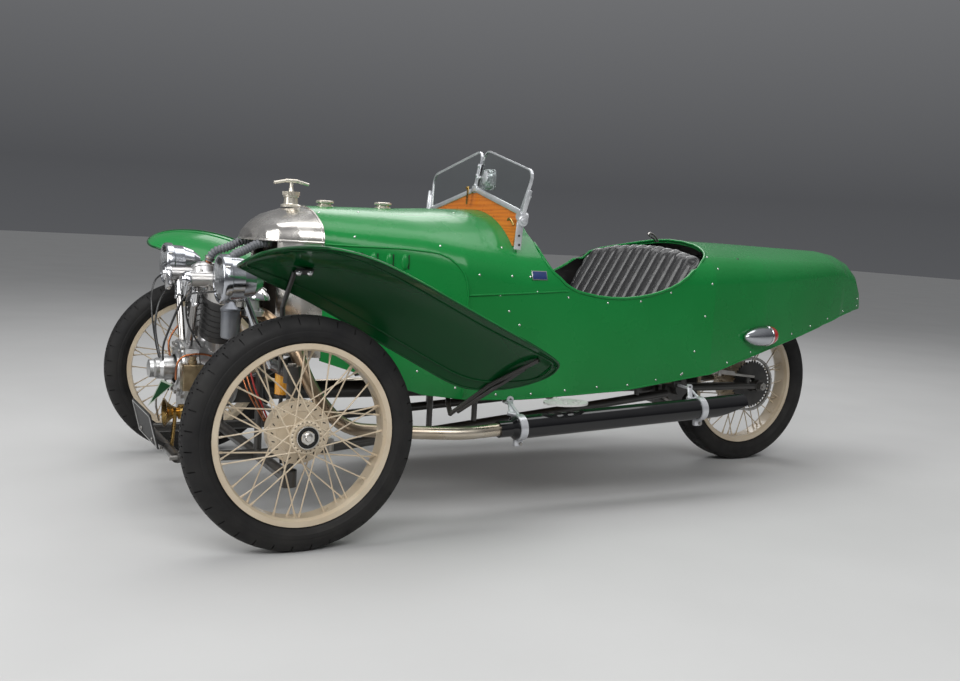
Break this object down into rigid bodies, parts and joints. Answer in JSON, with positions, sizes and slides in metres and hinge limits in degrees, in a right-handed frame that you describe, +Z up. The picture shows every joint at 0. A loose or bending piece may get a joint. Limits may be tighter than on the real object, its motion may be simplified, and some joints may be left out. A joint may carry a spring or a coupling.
{
  "type": "three wheeled car",
  "caption": "Vintage open two-seat three wheeled car with steered front wire wheels, a V-twin engine ahead of a domed radiator, flared wings, side exhausts and a pointed tail over one rear wheel.",
  "frame": {"origin": "on the ground, under the middle of the car's length and width", "axes": "-X forward, -Y to the car's left, +Z up"},
  "size_m": [3.157, 1.4844, 1.1949],
  "materials": {
    "green_paint": "gloss",
    "black_paint": "gloss",
    "cream_paint": "satin",
    "tyre": "matt",
    "nickel": "polished",
    "chrome": "polished",
    "steel": "satin",
    "alloy": "satin",
    "iron": "satin",
    "brass": "polished",
    "board_wood": "varnished",
    "floor_wood": "satin",
    "black_leather": "satin",
    "rubber": "matt",
    "glass": "clear",
    "pipe_metal": "satin",
    "black_plastic": "satin"
  },
  "bodies": {
    "car_body": {"bevel_box": "black_paint", "body_side_left": "green_paint", "body_side_right": "green_paint", "bonnet_side_left": "green_paint", "bonnet_side_right": "green_paint", "carburettor": "alloy", "chassis": "black_paint", "coolant_hoses": "rubber", "crankcase": "alloy", "cylinders": "iron", "drive_chain": "steel", "exhaust_pipes": "pipe_metal", "fascia": "green_paint", "floor": "floor_wood", "front_axle": "black_paint", "headlamps": "chrome", "horn": "brass", "magneto": "alloy", "number_plate": "black_paint", "pushrod_tubes": "chrome", "radiator_cap": "chrome", "radiator_core": "iron", "radiator_shell": "nickel", "rear_fork": "black_paint", "rear_springs": "steel", "screen_board": "board_wood", "seat_back": "black_leather", "seat_cushion": "black_leather", "silencer_brackets": "chrome", "silencers": "black_paint", "steering_column": "black_paint", "step_plates": "chrome", "tail": "green_paint", "tail_lamps": "chrome", "tank_caps": "chrome", "top_cowl": "green_paint", "windscreen_frame": "chrome", "windscreen_glass": "glass", "wing_left": "green_paint", "wing_right": "green_paint", "wing_stays": "black_paint"},
    "knuckle_left": {"knuckle_left": "steel"},
    "knuckle_right": {"knuckle_right": "steel"},
    "track_rod": {"track_rod": "steel"},
    "wheel_front_left": {"wheel_front_left": "cream_paint", "tyre_front_left": "tyre"},
    "wheel_front_right": {"wheel_front_right": "cream_paint", "tyre_front_right": "tyre"},
    "wheel_rear": {"wheel_rear": "cream_paint", "tyre_rear": "tyre", "sprocket": "steel"},
    "steering_wheel": {"steering_wheel": "black_plastic"}
  },
  "joints": [
    {"name": "steer_left", "type": "hinge", "parent": "car_body", "child": "knuckle_left", "pos_m": [-1.245, -0.55, 0.33], "axis": [0, 0, 1], "range_deg": [-20, 20]},
    {"name": "steer_right", "type": "hinge", "parent": "car_body", "child": "knuckle_right", "pos_m": [-1.245, 0.55, 0.33], "axis": [0, 0, 1], "range_deg": [-20, 20]},
    {"name": "track_rod_pivot", "type": "hinge", "parent": "knuckle_left", "child": "track_rod", "pos_m": [-1.115, -0.53, 0.26], "axis": [0, 0, 1], "range_deg": [-20, 20]},
    {"name": "steering_wheel_turn", "type": "hinge", "parent": "car_body", "child": "steering_wheel", "pos_m": [-0.19, 0.2, 0.775], "axis": [0.9134, 0, 0.407], "range_deg": [-50, 50]},
    {"name": "spin_front_left", "type": "hinge", "parent": "knuckle_left", "child": "wheel_front_left", "pos_m": [-1.245, -0.65, 0.33], "axis": [0, -1, 0], "continuous": true},
    {"name": "spin_front_right", "type": "hinge", "parent": "knuckle_right", "child": "wheel_front_right", "pos_m": [-1.245, 0.65, 0.33], "axis": [0, -1, 0], "continuous": true},
    {"name": "spin_rear", "type": "hinge", "parent": "car_body", "child": "wheel_rear", "pos_m": [0.915, 0, 0.33], "axis": [0, -1, 0], "continuous": true}
  ],
  "couplings": [
    {"joint": "steer_right", "follows": "steer_left", "ratio": 1},
    {"joint": "track_rod_pivot", "follows": "steer_left", "ratio": -1},
    {"joint": "steering_wheel_turn", "follows": "steer_left", "ratio": 2.5}
  ]
}
